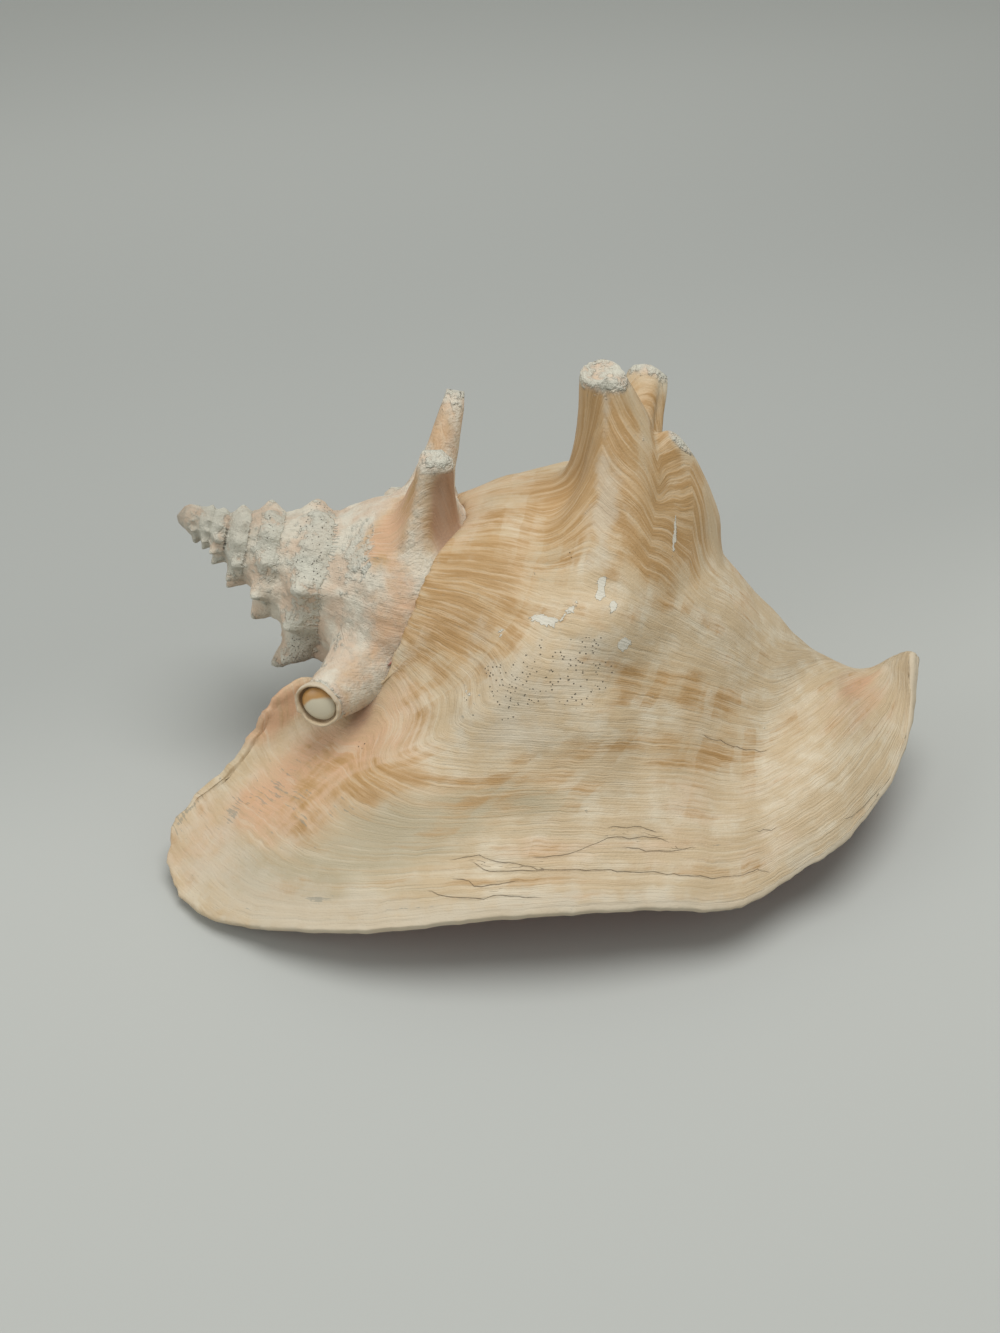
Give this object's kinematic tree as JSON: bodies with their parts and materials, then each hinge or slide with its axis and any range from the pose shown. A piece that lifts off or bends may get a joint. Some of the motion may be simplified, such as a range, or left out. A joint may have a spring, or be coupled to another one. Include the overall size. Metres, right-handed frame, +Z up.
{
  "type": "queen conch shell",
  "caption": "Large spiral sea shell with a knobbed spire, tall shoulder spines and a broad flared lip, lying on its aperture.",
  "frame": {"origin": "middle of the box's bottom face, on the surface that the shell lies on", "axes": "+X from the spire's point to the canal, +Y away from the lip's edge, +Z up"},
  "size_m": [0.2284, 0.1722, 0.133],
  "materials": {
    "shell": "matte chalky cream and peach limestone with golden ochre growth streaks, glossy pink inside the lip"
  },
  "bodies": {
    "root": {"conch_shell": "shell"}
  },
  "joints": []
}
